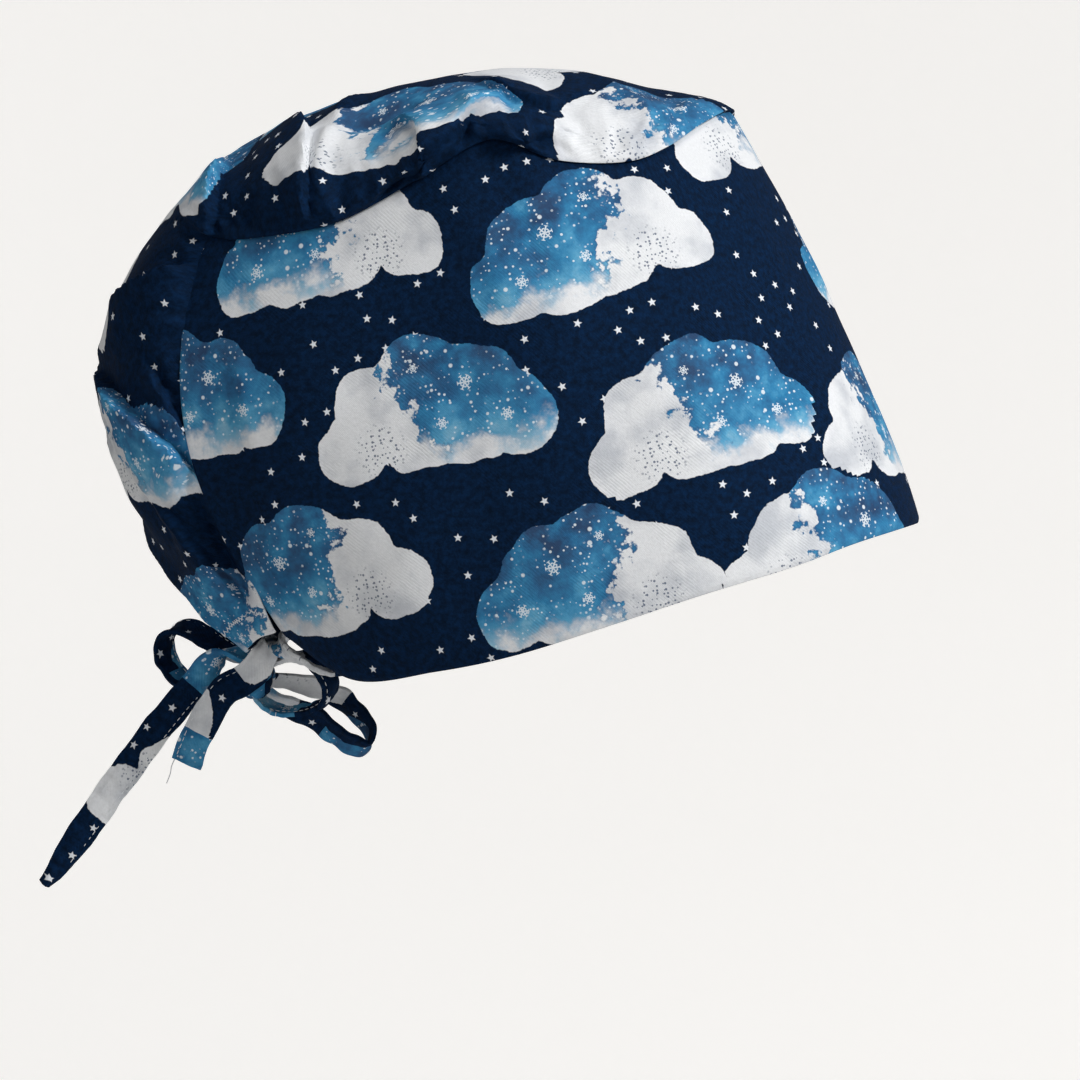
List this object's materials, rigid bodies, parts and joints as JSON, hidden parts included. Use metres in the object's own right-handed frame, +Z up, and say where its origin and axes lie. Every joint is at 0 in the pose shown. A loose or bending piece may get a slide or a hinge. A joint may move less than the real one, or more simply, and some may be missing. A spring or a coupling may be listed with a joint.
{
  "type": "scrub cap",
  "caption": "Tie-back cloth scrub cap in its worn shape: deep fitted band, gathered crown with a pouch at the back, and flat ties knotted in a bow under the nape.",
  "frame": {"origin": "centre of the head opening, at the height of its hem on the head's own upright axis", "axes": "+Z up along the head, -Y the way the wearer faces, +X to the wearer's left"},
  "size_m": [0.1702, 0.3133, 0.291],
  "materials": {
    "band_cloth": "printed woven cotton, matt",
    "crown_cloth": "printed woven cotton, matt",
    "tie_cloth": "printed woven cotton, matt"
  },
  "bodies": {
    "root": {"band": "band_cloth", "crown": "crown_cloth", "right_tie": "tie_cloth", "left_tie": "tie_cloth", "bow_knot": "tie_cloth", "rear_loop": "tie_cloth", "near_loop": "tie_cloth", "nape_loop": "tie_cloth", "long_tail": "tie_cloth"}
  },
  "joints": []
}
